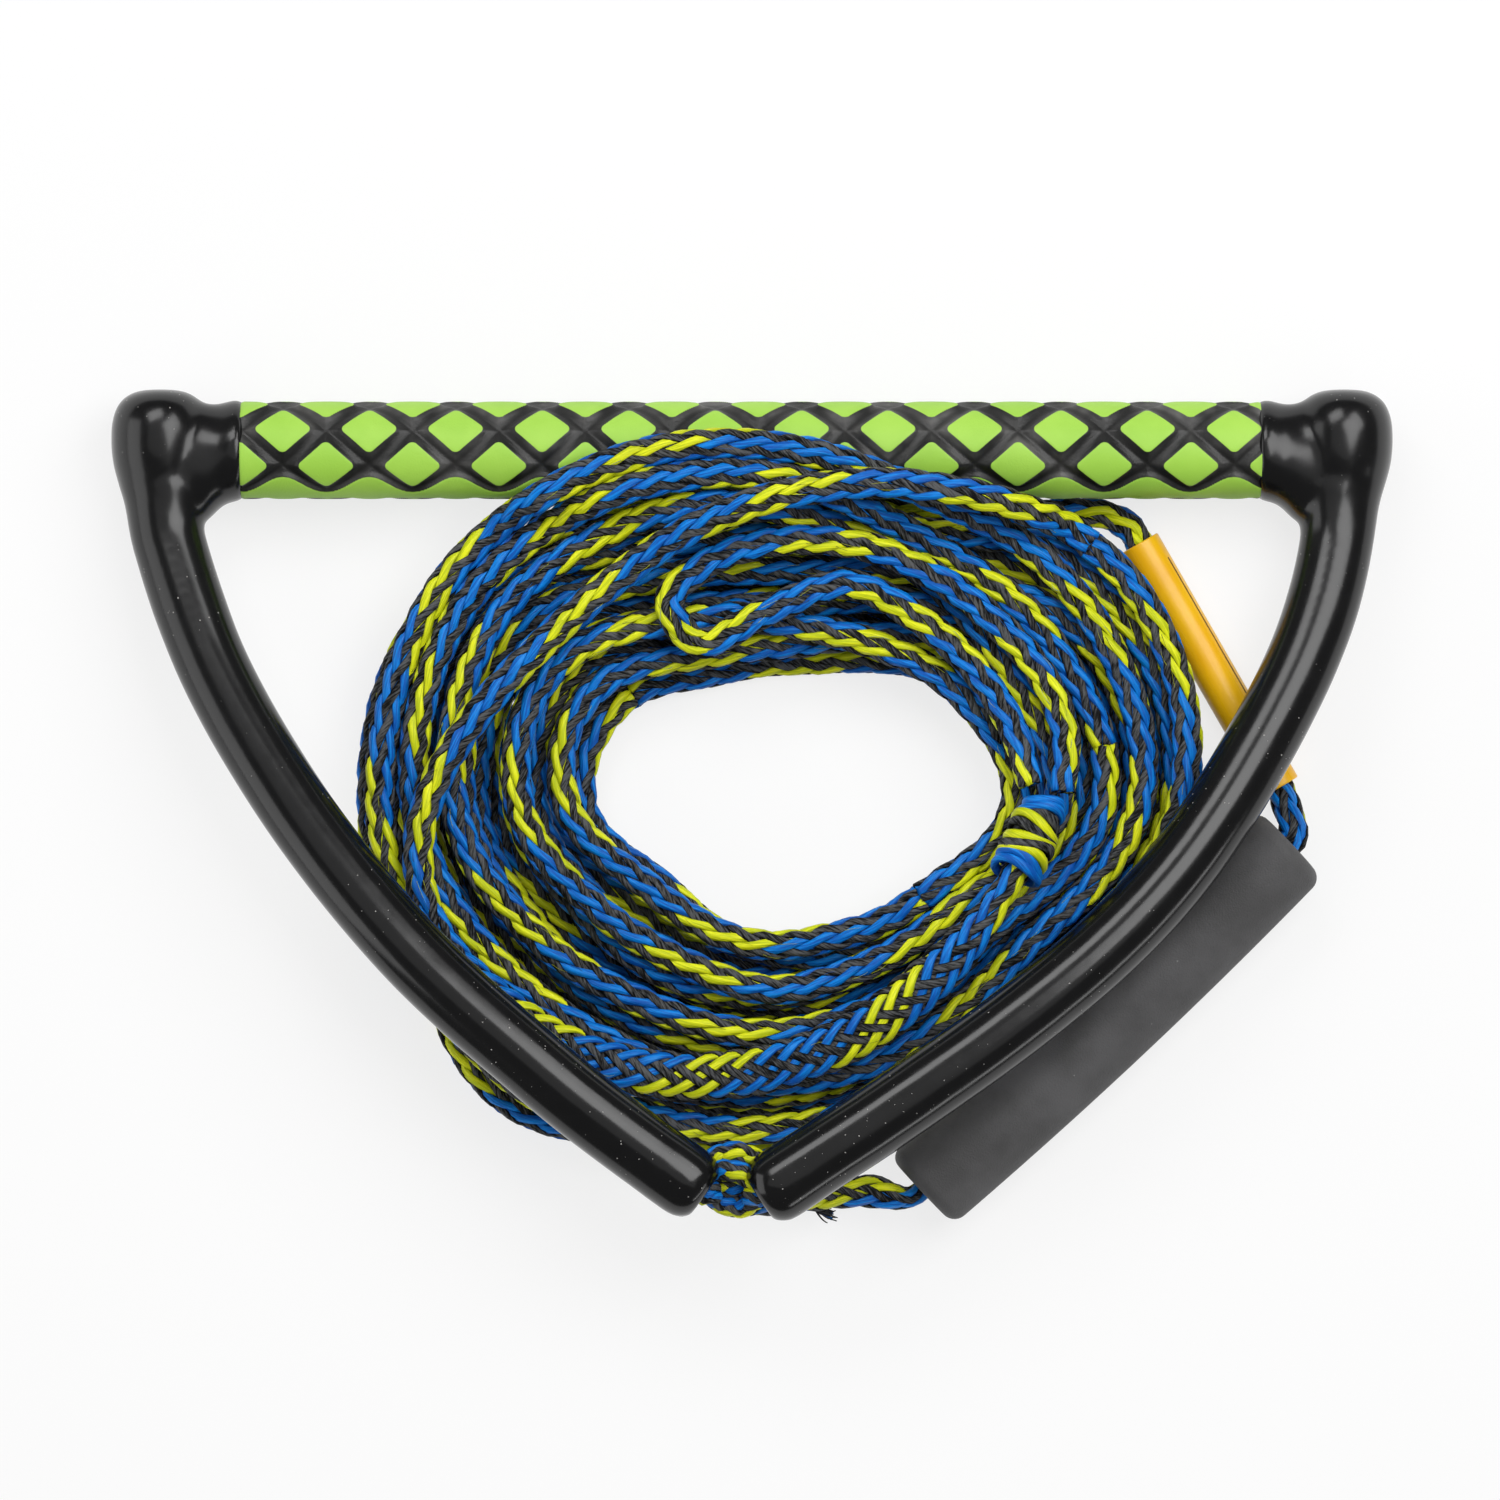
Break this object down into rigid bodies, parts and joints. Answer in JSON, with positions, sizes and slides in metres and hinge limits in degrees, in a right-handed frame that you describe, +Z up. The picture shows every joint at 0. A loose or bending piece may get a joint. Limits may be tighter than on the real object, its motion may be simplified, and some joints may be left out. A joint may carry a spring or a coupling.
{
  "type": "tow rope handle",
  "caption": "Water-sport tow handle: padded grip bar between two curved dipped legs, with a foam float, a chafe sleeve and a coiled braided rope that ends in a spliced eye.",
  "frame": {"origin": "middle of the handle's own box (bar, grip and legs, without the rope and what is on it), at floor level", "axes": "+X along the grip bar towards the right boot, +Y from the legs' tips towards the bar, +Z up from the floor that the handle lies on"},
  "size_m": [0.3803, 0.2478, 0.0628],
  "materials": {
    "bar_metal": "plain drawn tube",
    "plug_plastic": "moulded",
    "grip_foam": "two-colour foam rubber, green raised pads on black",
    "leg_cover": "glossy dipped cover",
    "rope": "braid of blue, yellow and black strands",
    "float_foam": "matt closed-cell foam",
    "guard_plastic": "satin sleeve"
  },
  "bodies": {
    "handle": {"bar_tube": "bar_metal", "left_bar_plug": "plug_plastic", "right_bar_plug": "plug_plastic", "grip_sleeve": "grip_foam", "left_leg_cover": "leg_cover", "right_leg_cover": "leg_cover", "left_leg_rope": "rope", "right_leg_rope": "rope", "left_stopper_knot": "rope", "right_stopper_knot": "rope", "bridle_knot": "rope", "float_line": "rope", "rope_coil": "rope", "tow_line": "rope", "throat_whipping": "rope", "tow_eye": "rope"},
    "float_body": {"float": "float_foam"},
    "guard_body": {"chafe_guard": "guard_plastic"}
  },
  "joints": [
    {"name": "float_slide", "type": "slide", "parent": "handle", "child": "float_body", "axis": [-0.7286, -0.6849, 0], "range_m": [0, 0.003]},
    {"name": "guard_slide", "type": "slide", "parent": "handle", "child": "guard_body", "axis": [-0.4992, 0.8665, 0], "range_m": [0, 0.004]}
  ]
}
